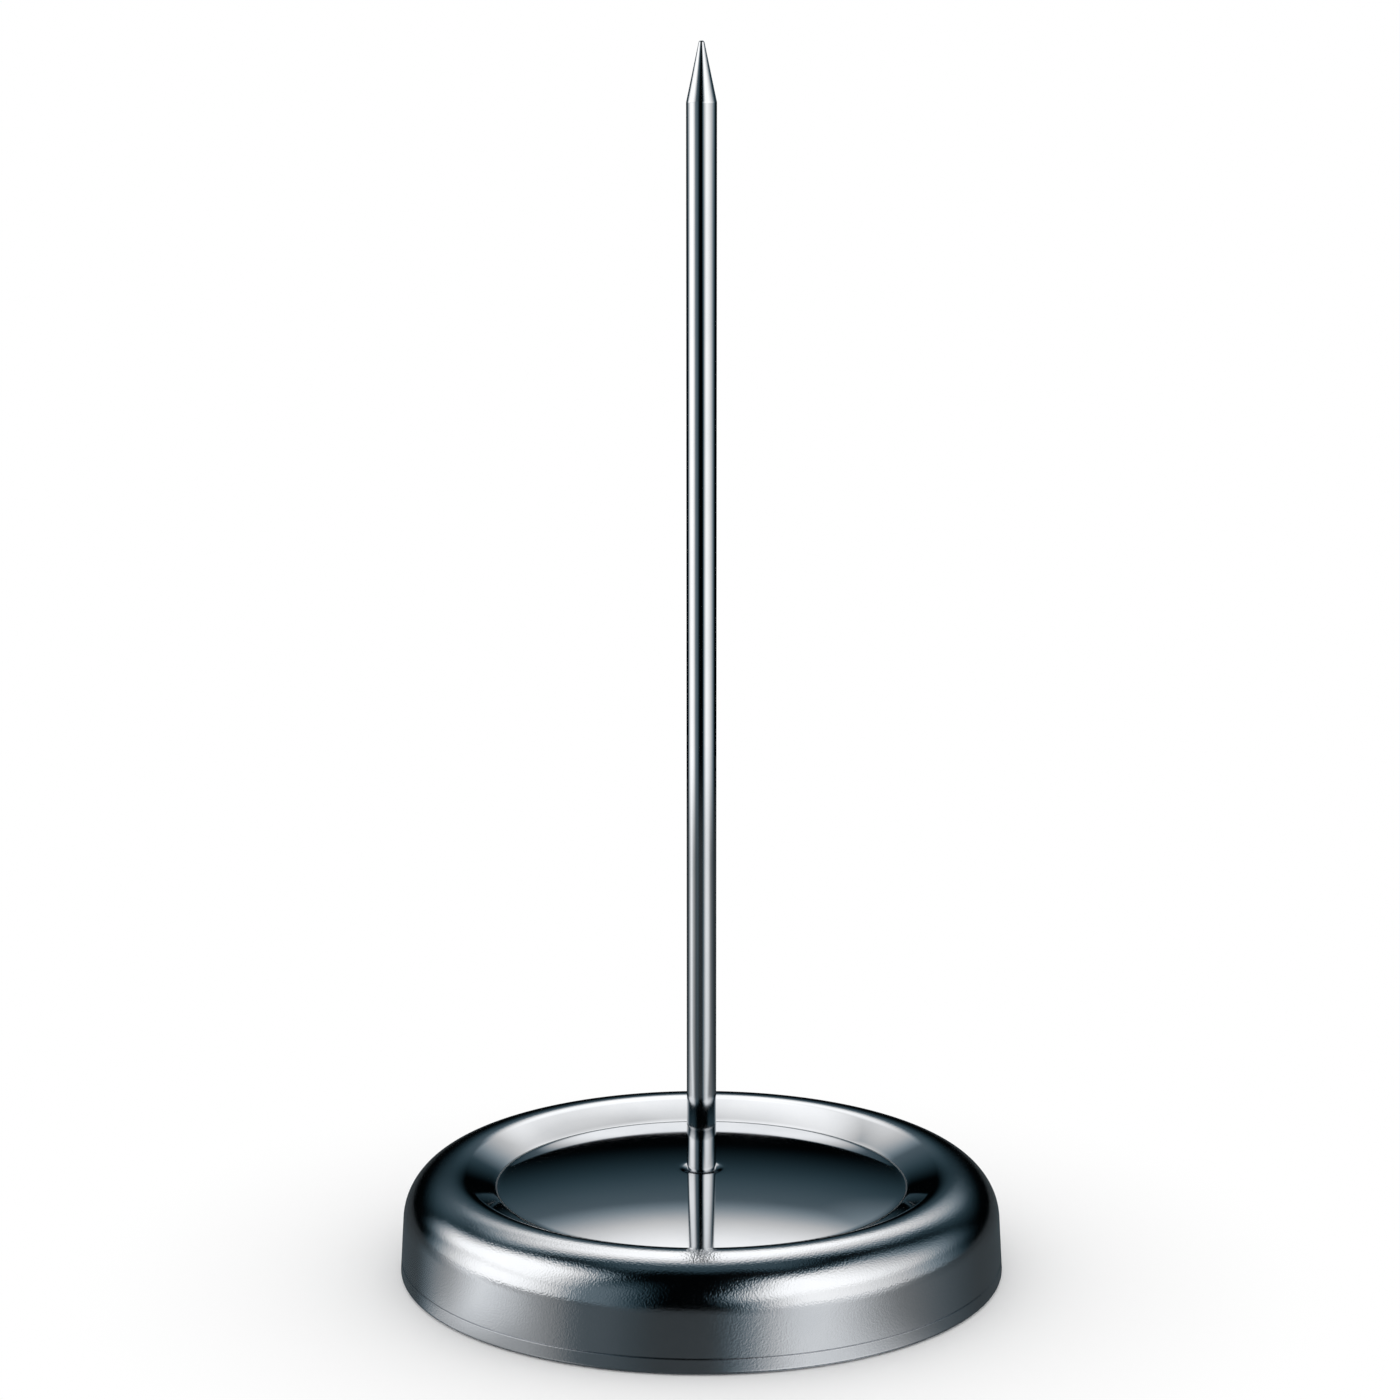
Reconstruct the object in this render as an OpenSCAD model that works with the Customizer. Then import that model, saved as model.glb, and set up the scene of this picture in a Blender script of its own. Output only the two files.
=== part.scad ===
// Receipt spike: a pointed bar that stands on a weighted base pressed from sheet metal.
// Millimetres, +Z up, origin on the resting surface below the spike.

/* [Overall] */
// Diameter of the base at its hem line
base_d = 82; // [76:1:110]
// Height of the point above the resting surface
overall_h = 165; // [120:0.5:220]

/* [Base shell] */
// Thickness of the shell's sheet
sheet_t = 0.7; // [0.5:0.05:0.75]
// Height of the rim's crest above the resting surface
rim_h = 14.1; // [12.5:0.1:18]
// Width of the raised rim, from the hem line in to the crease
rim_w = 13; // [12:0.5:18]
// Lean of the skirt from upright, in degrees
skirt_draft = 3.5; // [0.5:0.5:8]
// Radius of the shoulder between the skirt and the crest
shoulder_r = 6.7; // [5.8:0.1:7.5]
// Radius of the crest's inner side
crown_r = 5.5; // [3:0.1:5.7]
// Depth of the crease below the crest
crease_depth = 2.5; // [1.5:0.1:3.5]
// Rise of the domed floor from the crease to the middle
dome_rise = 2.25; // [0.5:0.05:3]
// Depth of the dimple that the spike stands in
dimple_depth = 0.3; // [0.2:0.05:0.6]
// Width of the dimple's sloping side
dimple_w = 0.8; // [0.4:0.1:2]

/* [Hem] */
// Height of the hem line above the hem's lower edge
hem_h = 2.1; // [1.6:0.1:3]
// Width of the hem's lip, turned in under the bottom plate
hem_w = 3; // [2:0.5:6]
// Outer radius of the roll at the hem's lower edge
hem_r = 0.5; // [0.4:0.1:1.2]
// Depth of the groove along the hem line
groove_depth = 0.25; // [0.1:0.05:0.4]
// Width of the groove along the hem line
groove_w = 0.5; // [0.3:0.1:0.8]

/* [Spike] */
// Diameter of the spike's bar
spike_d = 4; // [3.8:0.1:6]
// Included angle of the point, in degrees
point_angle = 24; // [16:1:40]
// Radius of the point's blunted end
tip_r = 0.4; // [0.2:0.05:0.8]
// Chamfer around the foot
foot_chamfer = 0.2; // [0.1:0.05:0.3]
// Diameter of the threaded tail
thread_d = 3; // [2.5:0.1:3.2]
// Chamfer at the tail's end
tail_chamfer = 0.4; // [0.2:0.1:0.8]
// Length of tail that stands out of the nut
tail_past_nut = 0.8; // [0.5:0.1:1]

/* [Fixing] */
// Diameter of the flat washer
washer_d = 7; // [6.5:0.1:9]
// Thickness of the flat washer
washer_t = 0.5; // [0.3:0.1:0.8]
// Thickness of the spring washer
spring_t = 0.8; // [0.5:0.1:1]
// Width of the spring washer's section
spring_w = 1.3; // [0.8:0.1:1.5]
// Width of the spring washer's split
split_w = 0.4; // [0.2:0.1:0.8]
// Slant of the spring washer's split, in degrees
split_slant = 25; // [0:5:40]
// Width of the nut across its flats
nut_af = 5.5; // [5:0.1:6]
// Height of the nut
nut_t = 2.4; // [1.8:0.1:2.6]
// Slope of the nut's corner chamfers, in degrees
nut_bevel = 30; // [15:5:40]
// Depth of the countersinks in the nut's bore
nut_sink = 0.3; // [0.1:0.1:0.5]

/* [Ballast] */
// Thickness of the ballast above the fixing
web_t = 2.5; // [2:0.1:2.6]
// Draft of the ballast's cast sides, in degrees
cast_draft = 3; // [1:0.5:6]
// Chamfer along the ballast's edges
cast_edge = 1; // [0.5:0.1:2]

/* [Underside] */
// Thickness of the bottom plate
plate_t = 0.6; // [0.4:0.1:0.8]
// Thickness of the non-slip pad
pad_t = 0.8; // [0.8:0.1:1.4]

/* [Clearances] */
// Room around the tail in the shell, the ballast and the washers
hole_clear = 0.1; // [0.05:0.05:0.15]
// Room between the tail and the nut's bore
thread_clear = 0.05; // [0.02:0.01:0.1]
// Room around the spike's foot in the dimple
foot_clear = 0.1; // [0.05:0.05:0.3]
// Room between the crease and the ballast's top
crease_clear = 0.02; // [0.01:0.01:0.1]
// Room around the ballast inside the skirt
ballast_clear = 3.2; // [2:0.1:6]
// Room between the ballast and the bottom plate
ballast_gap = 1.2; // [0.5:0.1:1.5]
// Room around the fixing for a socket wrench
socket_clear = 2; // [1:0.5:6]
// Room around the bottom plate inside the skirt
plate_clear = 0.2; // [0.1:0.05:0.4]
// Room between the pad and the hem's lip
pad_clear = 0.5; // [0.2:0.1:2]

/* [Hidden] */
$fn = 96;
hex_sides = 6;
// Amount by which a straight stretch runs into the arc that it blends with
blend = 0.002;
// Amount by which a cut runs past the surface that it starts from
over = 1;

// Radii
skirt_r = base_d / 2;
floor_r = skirt_r - rim_w;
lip_r = skirt_r - hem_w;
pad_r = lip_r - pad_clear;
spike_r = spike_d / 2;
thread_r = thread_d / 2;
hole_r = thread_r + hole_clear;
seat_r = spike_r + foot_clear;
dimple_r = seat_r + dimple_w;
ballast_r = skirt_r - sheet_t - ballast_clear;
socket_r = washer_d / 2 + socket_clear;

// Heights of the hem and the bottom plate: the lip lies on the pad's side, the plate on the lip
hem_z = pad_t - sheet_t;
line_z = hem_z + hem_h;
plate_top = pad_t + plate_t;
bead_w = 2 * (line_z - plate_top);

// Rim: the shoulder's arc runs on into the skirt, the crown's arc into the wall that falls to the crease
crest_r = skirt_r - (shoulder_r - (line_z - rim_h + shoulder_r) * sin(skirt_draft)) / cos(skirt_draft);
shoulder_c = [crest_r, rim_h - shoulder_r];
crown_c = [crest_r, rim_h - crown_r];
crease_z = rim_h - crease_depth;
to_crease = [floor_r, crease_z] - crown_c;
wall_turn = atan2(to_crease.y, to_crease.x) - acos(crown_r / norm(to_crease));
wall_slope = wall_turn - 90;

// Floor: a shallow dome, with a dimple in its middle
dome_r = (floor_r ^ 2 + dome_rise ^ 2) / (2 * dome_rise);
dome_slope = asin(floor_r / dome_r);
floor_top = crease_z + dome_rise;
seat_z = floor_top - dimple_depth;

// Underside of the crease, where the wall and the dome meet again one sheet lower
wall_down = [sin(wall_slope), -cos(wall_slope)];
dome_down = [-sin(dome_slope), -cos(dome_slope)];
crease_under = crease_z + sheet_t * (wall_down + dome_down).y / (1 + wall_down * dome_down);

// Fixing, from the ballast down
ballast_top = crease_under - crease_clear;
ballast_low = plate_top + ballast_gap;
washer_top = ballast_top - web_t;
spring_top = washer_top - washer_t;
nut_top = spring_top - spring_t;
nut_low = nut_top - nut_t;
tail_low = nut_low - tail_past_nut;

// Point: a cone that runs on into the round of the tip
point_slope = point_angle / 2;
tip_c = [0, overall_h - tip_r];
cone_top = tip_c + (tip_r - blend) * [cos(point_slope), sin(point_slope)];
cone_low = cone_top.y - (spike_r - cone_top.x) / tan(point_slope);

// A point at a distance and an angle
function polar(r, a) = r * [cos(a), sin(a)];

// Radius of the skirt at a height, set in from the outside by an amount
function skirt_at(z, inset) = skirt_r - (z - line_z) * tan(skirt_draft) - inset / cos(skirt_draft);

// Height of the inner wall at a radius, set in from the outside by an amount
function wall_at(r, inset) = crease_z + (r - floor_r) * tan(wall_slope) - inset / cos(wall_slope);

// Section of all that lies below the shell's skin and above a level, the skin set in by an amount
module under_skin(inset, low) {
    tuck_r = floor_r - over;
    polygon([
        [tuck_r, low],
        [skirt_at(low, inset), low],
        shoulder_c + polar(shoulder_r - inset - blend, skirt_draft),
        [crest_r, rim_h - inset - blend],
        crown_c + polar(crown_r - inset - blend, wall_turn),
        [tuck_r, wall_at(tuck_r, inset)]
    ]);
    intersection() {
        translate(shoulder_c)
            circle(shoulder_r - inset);
        translate([crest_r, low])
            square([skirt_r, rim_h]);
    }
    translate(crown_c)
        circle(crown_r - inset);
    intersection() {
        translate([0, floor_top - dome_r])
            circle(dome_r - inset);
        translate([0, low])
            square([floor_r + over, rim_h]);
    }
}

// Section of the dimple, pressed into a floor whose middle is at a height
module dimple_section(top) {
    polygon([
        [0, top - dimple_depth],
        [seat_r, top - dimple_depth],
        [dimple_r, top],
        [dimple_r, top + over],
        [0, top + over]
    ]);
}

// Section of the vee along the hem line, pressed into a wall at a radius
module vee_section(r, width) {
    polygon([
        [r - groove_depth, line_z],
        [r + groove_depth, line_z - width],
        [r + groove_depth, line_z + width]
    ]);
}

// Section of what the roll takes off the hem's lower corner
module roll_section() {
    roll_c = [skirt_at(hem_z, 0) - hem_r, hem_z + hem_r - blend];
    difference() {
        translate([roll_c.x, hem_z - over])
            square([hem_r + over, hem_r + over]);
        translate(roll_c)
            circle(hem_r);
    }
}

// Bar with a ground point, a shoulder at its foot and a plain-turned tail for the thread
module spike() {
    color("gainsboro")
        rotate_extrude() {
            polygon([
                [0, tail_low],
                [thread_r - tail_chamfer, tail_low],
                [thread_r, tail_low + tail_chamfer],
                [thread_r, seat_z],
                [spike_r - foot_chamfer, seat_z],
                [spike_r, seat_z + foot_chamfer],
                [spike_r, cone_low],
                cone_top,
                [0, cone_top.y]
            ]);
            intersection() {
                translate(tip_c)
                    circle(tip_r);
                translate([0, cone_low])
                    square([spike_r, overall_h]);
            }
        }
}

// Base pressed from one sheet, open below inside the lip of its rolled hem
module base_shell() {
    color("silver")
        rotate_extrude()
            difference() {
                under_skin(0, hem_z);
                roll_section();
                vee_section(skirt_r, groove_w);
                dimple_section(floor_top);
                difference() {
                    under_skin(sheet_t, pad_t);
                    vee_section(skirt_at(line_z, sheet_t), bead_w);
                    dimple_section(floor_top - sheet_t);
                }
                translate([0, hem_z - over])
                    square([lip_r, pad_t - hem_z + 2 * over]);
                square([hole_r, rim_h]);
            }
}

// Cast weight, hollowed below for the fixing
module ballast() {
    lean = tan(cast_draft);
    height = ballast_top - ballast_low;
    color("dimgray")
        rotate_extrude()
            polygon([
                [hole_r, ballast_top],
                [hole_r, washer_top],
                [socket_r, washer_top],
                [socket_r + (washer_top - ballast_low) * lean, ballast_low],
                [ballast_r - height * lean - cast_edge, ballast_low],
                [ballast_r - (height - cast_edge) * lean, ballast_low + cast_edge],
                [ballast_r, ballast_top - cast_edge],
                [ballast_r - cast_edge, ballast_top]
            ]);
}

module flat_washer() {
    color("lightgray")
        translate([0, 0, spring_top])
            difference() {
                cylinder(d = washer_d, h = washer_t);
                translate([0, 0, -over])
                    cylinder(r = hole_r, h = washer_t + 2 * over);
            }
}

// Lock washer with a slanted split, pressed flat
module spring_washer() {
    outer_r = hole_r + spring_w;
    color("darkgray")
        translate([0, 0, nut_top])
            difference() {
                cylinder(r = outer_r, h = spring_t);
                translate([0, 0, -over])
                    cylinder(r = hole_r, h = spring_t + 2 * over);
                translate([0, 0, spring_t / 2])
                    rotate([split_slant, 0, 0])
                        translate([0, -split_w / 2, -spring_t - over])
                            cube([outer_r + over, split_w, 2 * (spring_t + over)]);
            }
}

// Nut with chamfered corners and countersunk bore
module hex_nut() {
    corner_r = nut_af / 2 / cos(180 / hex_sides);
    corner_drop = (corner_r - nut_af / 2) * tan(nut_bevel);
    bore_r = thread_r + thread_clear;
    color("lightgray")
        translate([0, 0, nut_low])
            difference() {
                intersection() {
                    cylinder(r = corner_r, h = nut_t, $fn = hex_sides);
                    rotate_extrude()
                        polygon([
                            [0, 0],
                            [nut_af / 2, 0],
                            [corner_r, corner_drop],
                            [corner_r, nut_t - corner_drop],
                            [nut_af / 2, nut_t],
                            [0, nut_t]
                        ]);
                }
                rotate_extrude()
                    polygon([
                        [0, 0],
                        [bore_r + nut_sink, 0],
                        [bore_r, nut_sink],
                        [bore_r, nut_t - nut_sink],
                        [bore_r + nut_sink, nut_t],
                        [0, nut_t]
                    ]);
            }
}

// Disc that lies on the hem's lip, under the bead along the hem line
module bottom_plate() {
    color("darkgray")
        translate([0, 0, pad_t])
            cylinder(r = skirt_at(plate_top, sheet_t) - plate_clear, h = plate_t);
}

module base_pad() {
    color([0.13, 0.13, 0.14])
        cylinder(r = pad_r, h = pad_t);
}

spike();
base_shell();
ballast();
flat_washer();
spring_washer();
hex_nut();
bottom_plate();
base_pad();
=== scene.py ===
import math

import bpy
from mathutils import Matrix, Vector


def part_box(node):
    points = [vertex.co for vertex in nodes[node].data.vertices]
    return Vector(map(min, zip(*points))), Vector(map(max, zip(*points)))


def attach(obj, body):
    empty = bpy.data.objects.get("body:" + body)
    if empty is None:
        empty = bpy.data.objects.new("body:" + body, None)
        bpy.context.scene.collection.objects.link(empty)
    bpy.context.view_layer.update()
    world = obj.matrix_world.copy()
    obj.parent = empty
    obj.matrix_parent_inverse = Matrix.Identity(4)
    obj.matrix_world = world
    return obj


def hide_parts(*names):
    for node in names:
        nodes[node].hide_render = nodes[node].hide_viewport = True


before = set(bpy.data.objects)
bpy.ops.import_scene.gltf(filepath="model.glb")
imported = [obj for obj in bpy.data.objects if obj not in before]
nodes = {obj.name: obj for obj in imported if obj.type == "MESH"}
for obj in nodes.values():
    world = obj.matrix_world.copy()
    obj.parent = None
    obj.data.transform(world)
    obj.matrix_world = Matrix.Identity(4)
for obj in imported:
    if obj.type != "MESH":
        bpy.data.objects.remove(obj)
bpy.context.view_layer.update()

# Receipt spike: a polished bar with a ground point on a weighted base pressed from bright sheet.
# Sizes are in metres, and MM and UM turn millimetres and thousandths of one into metres.
MM = 0.001
UM = 0.000001

# Base, pressed from one sheet
SHEET_T = 0.7 * MM
HOLE_R = 1.6 * MM
SEAT_R = 2.1 * MM
SEAT_ROUND = 0.15 * MM
DIMPLE_R = 2.9 * MM
DIMPLE_DEPTH = 0.3 * MM
DIMPLE_ROUND = 0.25 * MM
FLOOR_R = 28 * MM
CREASE_DEPTH = 2.5 * MM
CREASE_ROUND = 0.25 * MM
DOME_RISE = 2.25 * MM
CROWN_R = 4.5 * MM
WALL_R = 60 * MM
SHOULDER_R = 6.7 * MM
SKIRT_R = 41 * MM
SKIRT_DRAFT = math.radians(3.5)
HEM_H = 2.1 * MM
GROOVE_DEPTH = 0.3 * MM
GROOVE_HALF = 0.1 * MM
GROOVE_ROUND = 0.03 * MM
ROLL_R = 0.5 * MM
LIP_R = 38 * MM
HEM_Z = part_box("base_shell")[0].z
RIM_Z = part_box("base_shell")[1].z
LINE_Z = HEM_Z + HEM_H

# Spike, turned from round bar
BAR_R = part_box("spike")[1].x
TAIL_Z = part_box("spike")[0].z
TIP_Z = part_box("spike")[1].z
TAIL_R = 1.5 * MM
TAIL_CHAMFER = 0.4 * MM
FOOT_CHAMFER = 0.2 * MM
FOOT_LOW_ROUND = 0.04 * MM
FOOT_TOP_ROUND = 0.06 * MM
CONE_ROUND = 0.12 * MM
TIP_R = 0.4 * MM
POINT_SLOPE = math.radians(12)
SHARP_ANGLE = math.radians(40)

# Pad
PAD_ROUND = 0.25 * MM

# Rim and floor, worked out from the sizes above
CREST_R = SKIRT_R - (
    SHOULDER_R - (LINE_Z - RIM_Z + SHOULDER_R) * math.sin(SKIRT_DRAFT)
) / math.cos(SKIRT_DRAFT)
SHOULDER_C = Vector((CREST_R, RIM_Z - SHOULDER_R))
CROWN_C = Vector((CREST_R, RIM_Z - CROWN_R))
CREASE_Z = RIM_Z - CREASE_DEPTH
DOME_R = (FLOOR_R ** 2 + DOME_RISE ** 2) / (2 * DOME_RISE)
FLOOR_Z = CREASE_Z + DOME_RISE
SEAT_Z = FLOOR_Z - DIMPLE_DEPTH

# Roundness
ROUND_STEPS = 256
DOME_STEPS = 28
WALL_STEPS = 6
CROWN_STEPS = 14
SHOULDER_STEPS = 44
ROLL_STEPS = 12
TIP_STEPS = 12
CORNER_STEPS = 5
MERGE_GAP = 0.001 * MM

# Camera of the photograph
LENS = 86.25
SENSOR = 36
CAMERA_AT = Vector((-0.2, -439.7, 157.9)) * MM
CAMERA_DOWN = math.radians(10.207)


def polar(centre, radius, angle):
    return centre + radius * Vector((math.cos(angle), math.sin(angle)))


def turn_of(arrow):
    return math.atan2(arrow.y, arrow.x)


def skirt_at(z):
    return SKIRT_R - (z - LINE_Z) * math.tan(SKIRT_DRAFT)


class Section:
    """Half section of a round piece, drawn in the XZ plane and then spun about the upright axis."""

    def __init__(self, name, r, z):
        bpy.ops.object.select_all(action="DESELECT")
        bpy.ops.mesh.primitive_plane_add(size=MM)
        self.piece = bpy.context.object
        self.piece.name = name
        self.piece.data.name = name
        self.at = Vector((r, 0, z))
        bpy.ops.object.mode_set(mode="EDIT")
        bpy.ops.mesh.select_all(action="SELECT")
        bpy.ops.mesh.merge(type="CENTER")
        bpy.ops.transform.translate(value=self.at)

    def line_to(self, r, z):
        end = Vector((r, 0, z))
        bpy.ops.mesh.extrude_vertices_move(TRANSFORM_OT_translate={"value": end - self.at})
        self.at = end

    def arc(self, centre, turn, steps):
        middle = Vector((centre.x, 0, centre.y))
        bpy.ops.mesh.spin(steps=steps, angle=turn, center=middle, axis=(0, 1, 0))
        self.at = middle + Matrix.Rotation(-turn, 3, "Y") @ (self.at - middle)

    def round_corner(self, r, z, size):
        corner = Vector((r, 0, z))
        bpy.ops.mesh.select_all(action="DESELECT")
        bpy.ops.object.mode_set(mode="OBJECT")
        nearest = min(self.piece.data.vertices, key=lambda point: (point.co - corner).length)
        nearest.select = True
        bpy.ops.object.mode_set(mode="EDIT")
        bpy.ops.mesh.bevel(offset=size, segments=CORNER_STEPS, affect="VERTICES")

    def spin_round(self):
        bpy.ops.mesh.select_all(action="SELECT")
        bpy.ops.mesh.spin(steps=ROUND_STEPS, angle=math.tau, center=(0, 0, 0), axis=(0, 0, 1))
        bpy.ops.mesh.select_all(action="SELECT")
        bpy.ops.mesh.remove_doubles(threshold=MERGE_GAP)
        bpy.ops.mesh.normals_make_consistent(inside=False)
        bpy.ops.object.mode_set(mode="OBJECT")
        bpy.ops.object.shade_smooth()
        return self.piece


def apply_modifier(piece, kind, **settings):
    bpy.context.view_layer.objects.active = piece
    bpy.ops.object.modifier_add(type=kind)
    modifier = piece.modifiers[-1]
    for key, value in settings.items():
        setattr(modifier, key, value)
    bpy.ops.object.modifier_apply(modifier=modifier.name)


def make_pressed_base():
    """Skin of the base from the spike's hole out to the lip of the hem, then given its sheet's thickness."""
    dome_c = Vector((0, FLOOR_Z - DOME_R))
    dimple_turn = math.asin(DIMPLE_R / DOME_R)
    crease_turn = math.asin(FLOOR_R / DOME_R)
    dimple_edge = polar(dome_c, DOME_R, math.pi / 2 - dimple_turn)
    crease = Vector((FLOOR_R, CREASE_Z))
    to_crease = crease - CROWN_C
    reach = WALL_R - CROWN_R
    spread = math.acos(
        (to_crease.length_squared + reach ** 2 - WALL_R ** 2) / (2 * to_crease.length * reach)
    )
    wall_c = polar(CROWN_C, reach, turn_of(to_crease) + spread)
    wall_turn = turn_of(CROWN_C - wall_c)
    groove = Vector((skirt_at(LINE_Z) - GROOVE_DEPTH, LINE_Z))
    groove_top = Vector((skirt_at(LINE_Z + GROOVE_HALF), LINE_Z + GROOVE_HALF))
    groove_low = Vector((skirt_at(LINE_Z - GROOVE_HALF), LINE_Z - GROOVE_HALF))
    roll_c = Vector((skirt_at(HEM_Z + ROLL_R) - ROLL_R / math.cos(SKIRT_DRAFT), HEM_Z + ROLL_R))
    roll_start = polar(roll_c, ROLL_R, SKIRT_DRAFT)

    section = Section("pressed_base", HOLE_R, SEAT_Z)
    section.line_to(SEAT_R, SEAT_Z)
    section.line_to(*dimple_edge)
    section.arc(dome_c, dimple_turn - crease_turn, DOME_STEPS)
    section.arc(wall_c, wall_turn - turn_of(crease - wall_c), WALL_STEPS)
    section.arc(CROWN_C, math.pi / 2 - wall_turn, CROWN_STEPS)
    section.arc(SHOULDER_C, SKIRT_DRAFT - math.pi / 2, SHOULDER_STEPS)
    section.line_to(*groove_top)
    section.line_to(*groove)
    section.line_to(*groove_low)
    section.line_to(*roll_start)
    section.arc(roll_c, -math.pi / 2 - SKIRT_DRAFT, ROLL_STEPS)
    section.line_to(LIP_R, HEM_Z)
    section.round_corner(SEAT_R, SEAT_Z, SEAT_ROUND)
    section.round_corner(*dimple_edge, DIMPLE_ROUND)
    section.round_corner(*crease, CREASE_ROUND)
    for corner in (groove_top, groove, groove_low):
        section.round_corner(*corner, GROOVE_ROUND)
    base = section.spin_round()
    apply_modifier(base, "SOLIDIFY", thickness=SHEET_T, offset=-1, use_even_offset=True)
    apply_modifier(base, "WEIGHTED_NORMAL", keep_sharp=True)
    return base


def make_polished_spike():
    """Tail, shoulder, bar, ground point and blunted tip in one turned piece."""
    tip_c = Vector((0, TIP_Z - TIP_R))
    cone_top = polar(tip_c, TIP_R, POINT_SLOPE)
    cone_low = Vector((BAR_R, cone_top.y - (BAR_R - cone_top.x) / math.tan(POINT_SLOPE)))

    section = Section("polished_spike", 0, TAIL_Z)
    section.line_to(TAIL_R - TAIL_CHAMFER, TAIL_Z)
    section.line_to(TAIL_R, TAIL_Z + TAIL_CHAMFER)
    section.line_to(TAIL_R, SEAT_Z)
    section.line_to(BAR_R - FOOT_CHAMFER, SEAT_Z)
    section.line_to(BAR_R, SEAT_Z + FOOT_CHAMFER)
    section.line_to(*cone_low)
    section.line_to(*cone_top)
    section.arc(tip_c, math.pi / 2 - POINT_SLOPE, TIP_STEPS)
    section.round_corner(BAR_R - FOOT_CHAMFER, SEAT_Z, FOOT_LOW_ROUND)
    section.round_corner(BAR_R, SEAT_Z + FOOT_CHAMFER, FOOT_TOP_ROUND)
    section.round_corner(*cone_low, CONE_ROUND)
    spike = section.spin_round()
    bpy.ops.object.shade_smooth_by_angle(angle=SHARP_ANGLE)
    apply_modifier(spike, "WEIGHTED_NORMAL", keep_sharp=True)
    return spike


def make_rubber_pad():
    """Thin disc under the base, with rounded edges."""
    low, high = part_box("base_pad")
    inner = high.x - PAD_ROUND
    section = Section("rubber_pad", 0, low.z)
    section.line_to(inner, low.z)
    section.arc(Vector((inner, low.z + PAD_ROUND)), math.pi / 2, CORNER_STEPS)
    section.line_to(high.x, high.z - PAD_ROUND)
    section.arc(Vector((inner, high.z - PAD_ROUND)), math.pi / 2, CORNER_STEPS)
    section.line_to(0, high.z)
    return section.spin_round()


# Places of the colour sockets on a mix node
MIX_FACTOR = 0
MIX_FIRST = 6
MIX_SECOND = 7
MIX_RESULT = 2


class Board:
    """Adds nodes to a node tree, with each input given as a value or as the socket that feeds it."""

    def __init__(self, tree):
        self.tree = tree

    def add(self, kind, settings=None, **inputs):
        made = self.tree.nodes.new(kind)
        for key, value in (settings or {}).items():
            setattr(made, key, value)
        for key, value in inputs.items():
            self.feed(made.inputs[key.replace("_", " ")], value)
        return made

    def feed(self, socket, value):
        if isinstance(value, bpy.types.NodeSocket):
            self.tree.links.new(value, socket)
        else:
            socket.default_value = value

    def calc(self, operation, first, second=0.0, third=0.0):
        made = self.add("ShaderNodeMath", {"operation": operation})
        for socket, value in zip(made.inputs, (first, second, third)):
            self.feed(socket, value)
        return made.outputs[0]

    def ramp(self, value, start, end, low=0.0, high=1.0):
        made = self.add("ShaderNodeMapRange", {"interpolation_type": "SMOOTHSTEP"}, Value=value)
        for key, number in (("From Min", start), ("From Max", end), ("To Min", low), ("To Max", high)):
            self.feed(made.inputs[key], number)
        return made.outputs[0]

    def mix_colour(self, factor, first, second):
        made = self.add("ShaderNodeMix", {"data_type": "RGBA"})
        for index, value in ((MIX_FACTOR, factor), (MIX_FIRST, first), (MIX_SECOND, second)):
            self.feed(made.inputs[index], value)
        return made.outputs[MIX_RESULT]

    def noise(self, vector, scale, detail=2.0, roughness=0.5):
        made = self.add(
            "ShaderNodeTexNoise", Vector=vector, Scale=scale, Detail=detail, Roughness=roughness
        )
        return made.outputs[0]

    def group(self, tree, **inputs):
        return self.add("ShaderNodeGroup", {"node_tree": tree}, **inputs).outputs

    def place(self):
        return self.add("ShaderNodeTexCoord").outputs["Object"]

    def radius(self, place):
        split = self.add("ShaderNodeSeparateXYZ", Vector=place)
        flat = self.add("ShaderNodeCombineXYZ", X=split.outputs["X"], Y=split.outputs["Y"])
        made = self.add("ShaderNodeVectorMath", {"operation": "LENGTH"}, Vector=flat.outputs[0])
        return made.outputs["Value"]

    def height(self, place):
        return self.add("ShaderNodeSeparateXYZ", Vector=place).outputs["Z"]


def new_group(name, inputs, outputs):
    """A shader node group with number inputs at their usual values, and number outputs."""
    tree = bpy.data.node_groups.new(name, "ShaderNodeTree")
    for label, value in inputs.items():
        socket = tree.interface.new_socket(label, in_out="INPUT", socket_type="NodeSocketFloat")
        socket.default_value = value
    for label in outputs:
        tree.interface.new_socket(label, in_out="OUTPUT", socket_type="NodeSocketFloat")
    board = Board(tree)
    entry = tree.nodes.new("NodeGroupInput").outputs
    leave = tree.nodes.new("NodeGroupOutput").inputs
    return tree, board, entry, leave


# Marks that the finishes share
FINER_MARKS = 9.0
FINE_SHARE = 0.35
BLOTCH_SHARE = 0.65
LINE_BREAKS = 120.0


def make_polish_haze():
    """Blotches of slightly duller polish, with finer marks in them, from 0 to 1."""
    tree, board, entry, leave = new_group("polish_haze", {"Scale": 100.0}, ["Haze"])
    place = board.place()
    broad = board.noise(place, entry["Scale"], detail=3.0, roughness=0.55)
    finer = board.calc("MULTIPLY", entry["Scale"], FINER_MARKS)
    fine = board.noise(place, finer, detail=2.0, roughness=0.6)
    blotch = board.calc("MULTIPLY", board.ramp(broad, start=0.35, end=0.75), BLOTCH_SHARE)
    board.feed(leave["Haze"], board.calc("MULTIPLY_ADD", fine, FINE_SHARE, blotch))
    return tree


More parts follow.
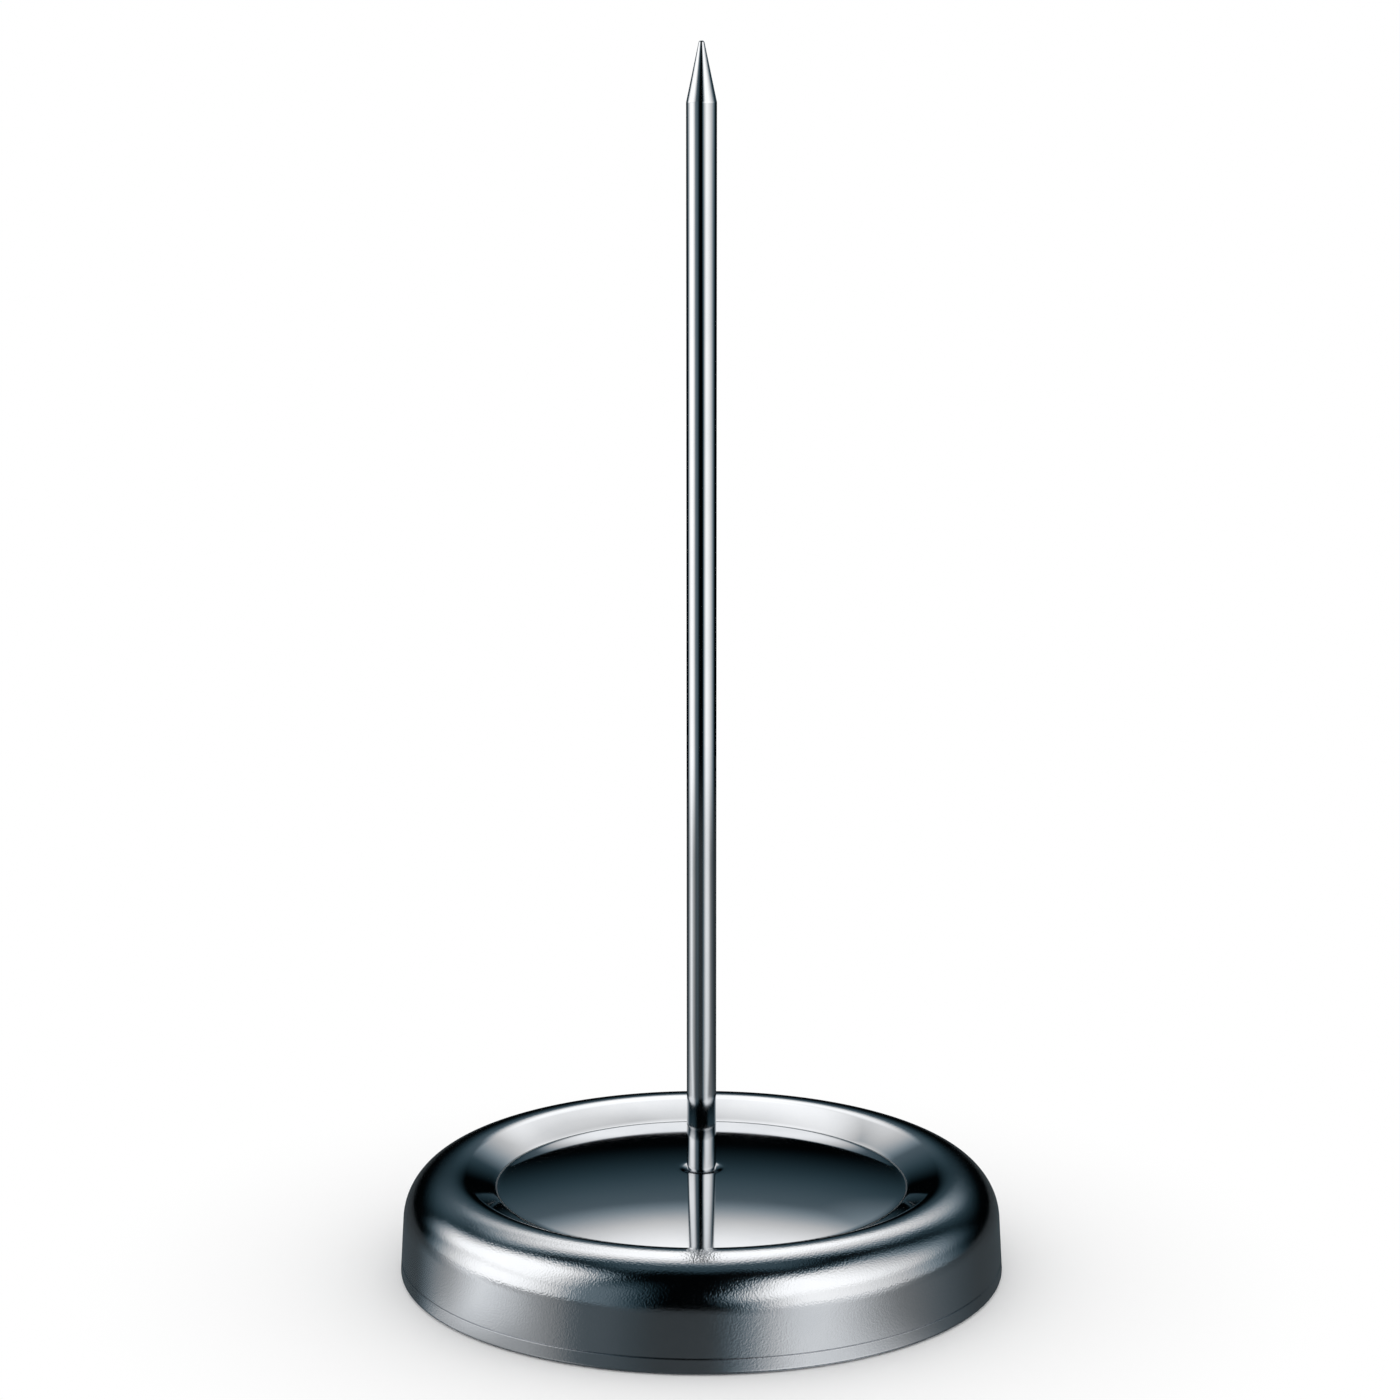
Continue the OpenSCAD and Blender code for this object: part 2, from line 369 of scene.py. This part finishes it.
def make_turned_lines():
    """Fine lines that run round the upright axis, as a polishing wheel leaves them."""
    tree, board, entry, leave = new_group("turned_lines", {"Scale": 4000.0}, ["Lines"])
    place = board.place()
    across = board.add("ShaderNodeCombineXYZ", X=board.radius(place), Y=board.height(place))
    coarse = board.noise(across.outputs[0], entry["Scale"], detail=2.0, roughness=0.7)
    broken = board.noise(place, LINE_BREAKS, detail=1.0)
    kept = board.ramp(broken, start=0.2, end=0.7, low=0.45, high=1.0)
    board.feed(leave["Lines"], board.calc("MULTIPLY", coarse, kept))
    return tree


def make_pebble_grain():
    """Close, rounded grain as on blasted metal, castings and moulded rubber."""
    tree, board, entry, leave = new_group("pebble_grain", {"Scale": 2000.0, "Detail": 1.0}, ["Grain"])
    place = board.place()
    board.feed(leave["Grain"], board.noise(place, entry["Scale"], entry["Detail"], roughness=0.5))
    return tree


polish_haze = make_polish_haze()
turned_lines = make_turned_lines()
pebble_grain = make_pebble_grain()


def new_material(name):
    material = bpy.data.materials.new(name)
    material.use_nodes = True
    material.node_tree.nodes.clear()
    board = Board(material.node_tree)
    out = board.add("ShaderNodeOutputMaterial")
    return material, board, out


def surface(board, out, colour, roughness, metallic, bump, bump_size=UM):
    """The material's own shader, fed with what changes over the surface and set with what doesn't."""
    shader = board.add("ShaderNodeBsdfPrincipled", Base_Color=colour, Roughness=roughness, Metallic=metallic)
    relief = board.add("ShaderNodeBump", Strength=1.0, Distance=bump_size, Height=bump)
    board.feed(shader.inputs["Normal"], relief.outputs["Normal"])
    board.feed(out.inputs["Surface"], shader.outputs[0])
    return shader


# Plated sheet: colours, where each finish starts and is full, what each adds to the roughness,
# and relief in thousandths of a millimetre
PLATE_BRIGHT = (0.63, 0.64, 0.655, 1)
PLATE_HAZED = (0.575, 0.59, 0.61, 1)
# Darker colour in the crease is painted shade; the crease's extra roughness is its own finish.
CREASE_PAINTED_SHADE = (0.3, 0.31, 0.32, 1)
GRAIN_START = 31.5 * MM
GRAIN_FULL = 36 * MM
SATIN_START = 9.2 * MM
SATIN_FULL = 7.2 * MM
CREASE_START = 0.16 * MM
CREASE_FULL = 0.06 * MM
PLATE_ROUGH = 0.035
PLATE_HAZE_ROUGH = 0.05
GRAIN_ROUGH = 0.045
SATIN_ROUGH = 0.04
CREASE_ROUGH = 0.32
GRAIN_RELIEF = 18.0
SATIN_RELIEF = 2.0
WAVE_RELIEF = 1.2
WAVE_SCALE = 160.0
SATIN_PULL = 0.5
QUARTER_TURN = 0.25


def make_plated_sheet():
    """Bright plate: a mirror on the floor, a fine grain over the rim and a satin skirt."""
    material, board, out = new_material("plated_sheet")
    place = board.place()
    on_rim = board.ramp(board.radius(place), GRAIN_START, GRAIN_FULL)
    from_crease = board.calc("ABSOLUTE", board.calc("SUBTRACT", board.radius(place), FLOOR_R))
    in_crease = board.ramp(from_crease, CREASE_START, CREASE_FULL)
    on_skirt = board.ramp(board.height(place), SATIN_START, SATIN_FULL)
    haze = board.group(polish_haze, Scale=90.0)["Haze"]
    lines = board.group(turned_lines, Scale=5200.0)["Lines"]
    grain = board.group(pebble_grain, Scale=3900.0, Detail=1.0)["Grain"]
    waves = board.noise(place, WAVE_SCALE, detail=1.0)

    rough = board.calc("MULTIPLY_ADD", haze, PLATE_HAZE_ROUGH, PLATE_ROUGH)
    rough = board.calc("MULTIPLY_ADD", on_rim, GRAIN_ROUGH, rough)
    rough = board.calc("MULTIPLY_ADD", on_skirt, SATIN_ROUGH, rough)
    rough = board.calc("MULTIPLY_ADD", in_crease, CREASE_ROUGH, rough)
    colour = board.mix_colour(haze, PLATE_BRIGHT, PLATE_HAZED)
    # The crease's darker colour is painted shade.
    colour = board.mix_colour(in_crease, colour, CREASE_PAINTED_SHADE)
    relief = board.calc("MULTIPLY", board.calc("MULTIPLY", grain, on_rim), GRAIN_RELIEF)
    relief = board.calc("MULTIPLY_ADD", board.calc("MULTIPLY", lines, on_skirt), SATIN_RELIEF, relief)
    relief = board.calc("MULTIPLY_ADD", waves, WAVE_RELIEF, relief)
    shader = surface(board, out, colour, rough, metallic=1.0, bump=relief)
    round_about = board.add("ShaderNodeTangent", {"direction_type": "RADIAL", "axis": "Z"})
    board.feed(shader.inputs["Tangent"], round_about.outputs[0])
    shader.inputs["Anisotropic"].default_value = SATIN_PULL
    shader.inputs["Anisotropic Rotation"].default_value = QUARTER_TURN
    return material


# Polished steel: colours, the heights between which bar turns to point, roughness, and the bar's relief
STEEL_BRIGHT = (0.66, 0.67, 0.68, 1)
STEEL_HAZED = (0.61, 0.625, 0.64, 1)
POINT_START = 156.8 * MM
POINT_FULL = 157.4 * MM
STEEL_ROUGH = 0.03
STEEL_HAZE_ROUGH = 0.05
POINT_ROUGH = 0.06
POINT_RELIEF = 1.0
BAR_RELIEF = 0.15


def make_polished_steel():
    """Bright polished bar, with the grinding marks of its point."""
    material, board, out = new_material("polished_steel")
    place = board.place()
    on_point = board.ramp(board.height(place), POINT_START, POINT_FULL)
    haze = board.group(polish_haze, Scale=140.0)["Haze"]
    lines = board.group(turned_lines, Scale=9000.0)["Lines"]
    rough = board.calc("MULTIPLY_ADD", haze, STEEL_HAZE_ROUGH, STEEL_ROUGH)
    rough = board.calc("MULTIPLY_ADD", on_point, POINT_ROUGH, rough)
    colour = board.mix_colour(haze, STEEL_BRIGHT, STEEL_HAZED)
    depth = board.calc("MULTIPLY_ADD", on_point, POINT_RELIEF, BAR_RELIEF)
    relief = board.calc("MULTIPLY", lines, depth)
    surface(board, out, colour, rough, metallic=1.0, bump=relief)
    return material


# Cast weight
CAST_SKIN = (0.13, 0.13, 0.132, 1)
CAST_PIT = (0.085, 0.066, 0.056, 1)
CAST_ROUGH = 0.5
CAST_GRAIN_ROUGH = 0.3
CAST_FINE_SHARE = 0.5
CAST_RELIEF = 60 * UM


def make_cast_weight():
    """Cast iron as it leaves the sand, dark and pitted."""
    material, board, out = new_material("cast_weight")
    coarse = board.group(pebble_grain, Scale=420.0, Detail=4.0)["Grain"]
    fine = board.group(pebble_grain, Scale=2600.0, Detail=2.0)["Grain"]
    pits = board.ramp(coarse, start=0.42, end=0.3)
    colour = board.mix_colour(pits, CAST_SKIN, CAST_PIT)
    rough = board.calc("MULTIPLY_ADD", fine, CAST_GRAIN_ROUGH, CAST_ROUGH)
    relief = board.calc("MULTIPLY_ADD", fine, CAST_FINE_SHARE, coarse)
    surface(board, out, colour, rough, metallic=0.7, bump=relief, bump_size=CAST_RELIEF)
    return material


# Fixings and plate
ZINC_BRIGHT = (0.62, 0.63, 0.65, 1)
ZINC_DULL = (0.5, 0.51, 0.5, 1)
SPRING_BRIGHT = (0.34, 0.34, 0.35, 1)
SPRING_DULL = (0.25, 0.24, 0.235, 1)
ROLLED_BRIGHT = (0.52, 0.52, 0.53, 1)
ROLLED_DULL = (0.43, 0.43, 0.43, 1)
TURNED_RELIEF = 3 * UM


def make_plain_metal(name, bright, dull, rough_low, rough_high):
    """Small turned or rolled steel pieces under a thin finish."""
    material, board, out = new_material(name)
    haze = board.group(polish_haze, Scale=420.0)["Haze"]
    lines = board.group(turned_lines, Scale=6000.0)["Lines"]
    colour = board.mix_colour(haze, bright, dull)
    rough = board.ramp(haze, 0.0, 1.0, rough_low, rough_high)
    surface(board, out, colour, rough, metallic=1.0, bump=lines, bump_size=TURNED_RELIEF)
    return material


# Rubber of the pad
RUBBER_BLACK = (0.026, 0.026, 0.028, 1)
RUBBER_RUBBED = (0.05, 0.049, 0.048, 1)
RUBBER_ROUGH = 0.7
RUBBED_ROUGH = 0.15
RUBBER_RELIEF = 25 * UM


def make_pad_rubber():
    """Moulded black rubber with a fine grain, a little greyer where it has rubbed."""
    material, board, out = new_material("pad_rubber")
    grain = board.group(pebble_grain, Scale=3200.0, Detail=2.0)["Grain"]
    rubbed = board.group(polish_haze, Scale=60.0)["Haze"]
    colour = board.mix_colour(rubbed, RUBBER_BLACK, RUBBER_RUBBED)
    rough = board.calc("MULTIPLY_ADD", rubbed, RUBBED_ROUGH, RUBBER_ROUGH)
    surface(board, out, colour, rough, metallic=0.0, bump=grain, bump_size=RUBBER_RELIEF)
    return material


def dress(piece, material):
    piece.data.materials.clear()
    piece.data.materials.append(material)


base = make_pressed_base()
spike = make_polished_spike()
pad = make_rubber_pad()
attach(base, "root")
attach(spike, "root")
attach(pad, "root")
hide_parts("base_shell")
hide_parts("spike")
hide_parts("base_pad")
dress(base, make_plated_sheet())
dress(spike, make_polished_steel())
dress(pad, make_pad_rubber())

zinc = make_plain_metal("zinc_fixing", ZINC_BRIGHT, ZINC_DULL, rough_low=0.22, rough_high=0.4)
spring = make_plain_metal("dark_spring", SPRING_BRIGHT, SPRING_DULL, rough_low=0.3, rough_high=0.5)
rolled = make_plain_metal("plain_plate", ROLLED_BRIGHT, ROLLED_DULL, rough_low=0.28, rough_high=0.45)
dress(nodes["ballast"], make_cast_weight())
dress(nodes["flat_washer"], zinc)
dress(nodes["hex_nut"], zinc)
dress(nodes["spring_washer"], spring)
dress(nodes["bottom_plate"], rolled)

# Studio: a white floor in white surroundings. Only reflections show the dark tent with its soft windows
# and the glossy sheet on the table; the tent's dark cloth is painted shade and its windows painted light,
# and the sheet carries painted shade and a glow of painted light. Bearings and elevations are in degrees.
WHITE = (1, 1, 1, 1)
BLACK = (0, 0, 0, 1)
ROUND_SIDES = 96
FLOOR_WHITE = (0.96, 0.96, 0.96, 1)
FLOOR_SIZE = 1.1
FADE_START = 0.045
FADE_END = 0.088

# Tent, the tints of its painted light, how strongly it glows, and its windows. Above LEAN_FROM, a window's
# sides may lean inwards.
TENT_R = 0.6
TENT_SEGMENTS = 64
TENT_RINGS = 32
TENT_DARK = 0.001
WINDOW_PAINTED_GLOW = 1.6
COLD_TINT = (0.34, 0.76, 1.0, 1)
COOL_TINT = (0.6, 0.84, 1.0, 1)
LEAN_FROM = 28.0
WINDOWS = {
    "left": dict(
        Left_dark=-146.0, Left_full=-106.0, Right_full=-75.0, Right_dark=-45.0, Right_lean=1.0,
        Low_dark=5.0, Low_full=26.0, High_full=44.0, High_dark=66.0,
    ),
    "left_low": dict(
        Left_dark=-146.0, Left_full=-106.0, Right_full=-94.0, Right_dark=-54.0,
        Low_dark=-40.0, Low_full=8.0, High_full=16.0, High_dark=30.0,
    ),
    "right_side": dict(
        Strength=0.88, Left_dark=58.0, Left_full=142.0, Right_full=141.0, Right_dark=172.0,
        High_full=14.0, High_dark=26.0,
    ),
    "left_edge": dict(
        Strength=0.15, Left_dark=-166.0, Left_full=-140.0, Right_full=-130.0, Right_dark=-105.0,
        High_full=24.0, High_dark=58.0,
    ),
    "right_low": dict(
        Strength=0.88, Left_dark=70.0, Left_full=142.0, Right_full=141.0, Right_dark=172.0,
        High_full=20.0, High_dark=60.0,
    ),
    "right_high": dict(
        Left_dark=50.0, Left_full=130.0, Right_full=147.0, Right_dark=177.0,
        Left_lean=0.6, Right_lean=0.5,
        Low_dark=0.0, Low_full=24.0, High_full=46.0, High_dark=63.0,
    ),
    "back": dict(
        Strength=1.01, Left_dark=-45.0, Left_full=-2.0, Right_full=8.0, Right_dark=52.0,
        Low_dark=25.0, Low_full=43.0, High_full=57.0, High_dark=91.0,
    ),
    "back_wide": dict(
        Strength=1.01, Left_dark=-80.0, Left_full=-8.0, Right_full=-6.0, Right_dark=68.0,
        Low_dark=34.0, Low_full=56.0, High_full=57.0, High_dark=91.0,
    ),
    "back_right": dict(
        Strength=0.65, Left_dark=2.0, Left_full=18.0, Right_full=24.0, Right_dark=52.0,
        Low_dark=16.0, Low_full=44.0, High_full=57.0, High_dark=91.0,
    ),
    "back_toe": dict(
        Strength=0.12, Left_dark=-70.0, Left_full=-20.0, Right_full=20.0, Right_dark=70.0,
        Low_dark=10.5, Low_full=35.0, High_full=40.0, High_dark=70.0,
    ),
    "roof": dict(
        Strength=0.07, Left_dark=-150.0, Left_full=-110.0, Right_full=110.0, Right_dark=140.0,
        Low_dark=60.0, Low_full=77.0, High_full=90.0, High_dark=95.0,
    ),
    "top": dict(
        Strength=0.06, Left_dark=-200.0, Left_full=-190.0, Right_full=190.0, Right_dark=200.0,
        Low_dark=74.0, Low_full=84.0, High_full=90.0, High_dark=95.0,
    ),
}

# Table sheet: its shine and its glow of painted light by distance from the spike, and its stretches of
# painted shade by bearing.
# Close to the base, the stretches are swung towards the front by SWING.
TABLE_Z = 0.15 * MM
TABLE_END = 0.37
TABLE_ROUGH = 0.07
SHINE_NEAR = (0.62, 0.63, 0.64, 1)
SHINE_FAR = (0.74, 0.75, 0.76, 1)
SHINE_END = (0.95, 0.96, 0.97, 1)
NEAR_SHINE_TO = 0.04
FAR_SHINE_FROM = 0.2
END_FROM = 0.24
GLOW_TINT = (0.78, 0.92, 1.0, 1)
GLOW_NEAR = 0.064
GLOW_FAR = 0.046
NEAR_GLOW_TO = 0.07
FAR_GLOW_FROM = 0.1
SWING = 24.0
FULL_SWING_TO = 0.055
NO_SWING_FROM = 0.12
PAINTED_SHADE_STRETCHES = {
    "left_back": dict(
        Strength=0.3, Left_dark=-98.0, Left_full=-80.0, Right_full=-45.0, Right_dark=-20.0,
    ),
    "left_front": dict(
        Strength=0.58, Left_dark=-165.0, Left_full=-138.0, Right_full=-118.0, Right_dark=-94.0,
    ),
    "right": dict(
        Strength=0.68, Left_dark=40.0, Left_full=60.0, Right_full=100.0, Right_dark=128.0,
    ),
}


def make_light_window():
    """A soft-edged window of light by bearing and elevation, at its strength between the full edges."""
    edges = {
        "Bearing": 0.0, "Elevation": 0.0, "Strength": 1.0, "Left lean": 0.0, "Right lean": 0.0,
        "Left dark": -60.0, "Left full": -30.0, "Right full": 30.0, "Right dark": 60.0,
        "Low dark": -95.0, "Low full": -90.0, "High full": 50.0, "High dark": 65.0,
    }
    tree, board, entry, leave = new_group("light_window", edges, ["Light"])
    lift = board.calc("MAXIMUM", board.calc("SUBTRACT", entry["Elevation"], LEAN_FROM), 0.0)
    left_shift = board.calc("MULTIPLY", lift, entry["Left lean"])
    from_left = board.calc("SUBTRACT", entry["Bearing"], left_shift)
    from_right = board.calc("MULTIPLY_ADD", lift, entry["Right lean"], entry["Bearing"])
    left = board.ramp(from_left, entry["Left dark"], entry["Left full"])
    right = board.ramp(from_right, entry["Right dark"], entry["Right full"])
    low = board.ramp(entry["Elevation"], entry["Low dark"], entry["Low full"])
    high = board.ramp(entry["Elevation"], entry["High dark"], entry["High full"])
    across = board.calc("MULTIPLY", left, right)
    upright = board.calc("MULTIPLY", low, high)
    light = board.calc("MULTIPLY", across, upright)
    board.feed(leave["Light"], board.calc("MULTIPLY", light, entry["Strength"]))
    return tree


light_window = make_light_window()


def strongest(board, windows, **view):
    """The strongest of several windows at each place."""
    light = 0.0
    for edges in windows.values():
        window = board.group(light_window, **view, **edges)
        light = board.calc("MAXIMUM", light, window["Light"])
    return light


def only_in_reflections(stand):
    stand.visible_camera = False
    stand.visible_diffuse = False
    stand.visible_shadow = False
    stand.visible_transmission = False


def make_floor():
    """White paper round the object that turns to plain white farther out."""
    bpy.ops.object.select_all(action="DESELECT")
    bpy.ops.mesh.primitive_circle_add(vertices=ROUND_SIDES, radius=FLOOR_SIZE, fill_type="NGON")
    floor = bpy.context.object
    floor.name = "floor"
    material, board, out = new_material("white_floor")
    rays = board.add("ShaderNodeLightPath").outputs
    shown = board.calc("MAXIMUM", rays["Is Camera Ray"], rays["Is Glossy Ray"])
    shown = board.calc("MAXIMUM", shown, rays["Is Transmission Ray"])
    away = board.ramp(board.radius(board.place()), FADE_START, FADE_END)
    paper = board.add("ShaderNodeBsdfDiffuse", Color=FLOOR_WHITE)
    white = board.add("ShaderNodeEmission", Color=WHITE, Strength=1.0)
    blend = board.add("ShaderNodeMixShader")
    board.feed(blend.inputs[0], board.calc("MULTIPLY", shown, away))
    board.feed(blend.inputs[1], paper.outputs[0])
    board.feed(blend.inputs[2], white.outputs[0])
    board.feed(out.inputs["Surface"], blend.outputs[0])
    dress(floor, material)
    return floor


def bearing(board, place):
    """Degrees round the upright axis: 0 behind the object, 90 to its right, 180 towards the camera."""
    split = board.add("ShaderNodeSeparateXYZ", Vector=place)
    turn = board.calc("ARCTAN2", split.outputs["X"], split.outputs["Y"])
    return board.calc("DEGREES", turn)


def elevation(board, place):
    split = board.add("ShaderNodeSeparateXYZ", Vector=place)
    far = board.add("ShaderNodeVectorMath", {"operation": "LENGTH"}, Vector=place).outputs["Value"]
    return board.calc("DEGREES", board.calc("ARCSINE", board.calc("DIVIDE", split.outputs["Z"], far)))


def cloth_painted_light(board, out, light, dark):
    """Cloth that glows with painted light: white where the light is strong and bluer where there is less."""
    tint = board.mix_colour(board.ramp(light, start=0.0, end=0.2), COLD_TINT, COOL_TINT)
    tint = board.mix_colour(board.ramp(light, start=0.1, end=0.8), tint, WHITE)
    glow = board.add("ShaderNodeEmission", Color=tint, Strength=board.calc("ADD", light, dark))
    board.feed(out.inputs["Surface"], glow.outputs[0])


def make_tent():
    """Half a ball of cloth, with a hem that lies level, in to the edge of the table sheet."""
    bpy.ops.object.select_all(action="DESELECT")
    bpy.ops.mesh.primitive_uv_sphere_add(segments=TENT_SEGMENTS, ring_count=TENT_RINGS, radius=TENT_R)
    tent = bpy.context.object
    tent.name = "studio_tent"
    inwards = TABLE_END / TENT_R
    bpy.ops.object.mode_set(mode="EDIT")
    bpy.ops.mesh.select_all(action="SELECT")
    bpy.ops.mesh.bisect(plane_co=(0, 0, TABLE_Z), plane_no=(0, 0, 1), clear_inner=True)
    bpy.ops.mesh.extrude_edges_move()
    bpy.ops.transform.resize(value=(inwards, inwards, 1), center_override=(0, 0, TABLE_Z))
    bpy.ops.object.mode_set(mode="OBJECT")
    material, board, out = new_material("tent_cloth")
    place = board.place()
    light = strongest(board, WINDOWS, Bearing=bearing(board, place), Elevation=elevation(board, place))
    # The tent's glow is painted light, and its dark cloth painted shade, seen only in reflections.
    cloth_painted_light(board, out, board.calc("MULTIPLY", light, WINDOW_PAINTED_GLOW), TENT_DARK)
    dress(tent, material)
    only_in_reflections(tent)
    return tent


def make_table_card():
    """Glossy sheet under the object that mirrors the tent, with painted shade in dark stretches and near the
    base, and a faint glow of painted light.
    """
    bpy.ops.object.select_all(action="DESELECT")
    bpy.ops.mesh.primitive_circle_add(vertices=ROUND_SIDES, radius=TABLE_END, fill_type="NGON")
    sheet = bpy.context.object
    sheet.name = "table_sheet"
    bpy.ops.object.mode_set(mode="EDIT")
    bpy.ops.mesh.select_all(action="SELECT")
    bpy.ops.transform.translate(value=(0, 0, TABLE_Z))
    bpy.ops.object.mode_set(mode="OBJECT")
    material, board, out = new_material("table_painted_shade_and_glow")
    place = board.place()
    far = board.radius(place)
    turn = bearing(board, place)
    swing = board.ramp(far, FULL_SWING_TO, NO_SWING_FROM, SWING, 0.0)
    swung = board.calc("SUBTRACT", turn, board.calc("MULTIPLY", board.calc("SIGN", turn), swing))
    # Stretches where the sheet mirrors nothing are painted shade.
    dull = strongest(board, PAINTED_SHADE_STRETCHES, Bearing=swung)
    inside = board.ramp(far, TABLE_END, END_FROM)
    # The shine is darker near the base, painted shade of the object, and rises farther out as reflection
    # grows at grazing angles.
    shine = board.mix_colour(board.ramp(far, NEAR_SHINE_TO, FAR_SHINE_FROM), SHINE_NEAR, SHINE_FAR)
    shine = board.mix_colour(dull, shine, BLACK)
    shine = board.mix_colour(inside, SHINE_END, shine)
    gloss = board.add("ShaderNodeBsdfGlossy", Color=shine, Roughness=TABLE_ROUGH)
    # The sheet's glow is painted light falling on the table.
    strength = board.ramp(far, NEAR_GLOW_TO, FAR_GLOW_FROM, GLOW_NEAR, GLOW_FAR)
    strength = board.calc("MULTIPLY", strength, inside)
    glow = board.add("ShaderNodeEmission", Color=GLOW_TINT, Strength=strength)
    both = board.add("ShaderNodeAddShader")
    board.feed(both.inputs[0], gloss.outputs[0])
    board.feed(both.inputs[1], glow.outputs[0])
    board.feed(out.inputs["Surface"], both.outputs[0])
    dress(sheet, material)
    only_in_reflections(sheet)
    return sheet


make_floor()
make_tent()
make_table_card()

world = bpy.data.worlds.new("white_surroundings")
bpy.context.scene.world = world
world.use_nodes = True
world.node_tree.nodes["Background"].inputs["Color"].default_value = WHITE
world.node_tree.nodes["Background"].inputs["Strength"].default_value = 1.0
world.cycles_visibility.glossy = False

camera = bpy.data.objects.new("camera", bpy.data.cameras.new("camera"))
bpy.context.scene.collection.objects.link(camera)
camera.data.lens = LENS
camera.data.sensor_width = SENSOR
camera.location = CAMERA_AT
camera.rotation_euler = (math.pi / 2 - CAMERA_DOWN, 0, 0)
bpy.context.scene.camera = camera
bpy.context.scene.view_settings.view_transform = "Standard"
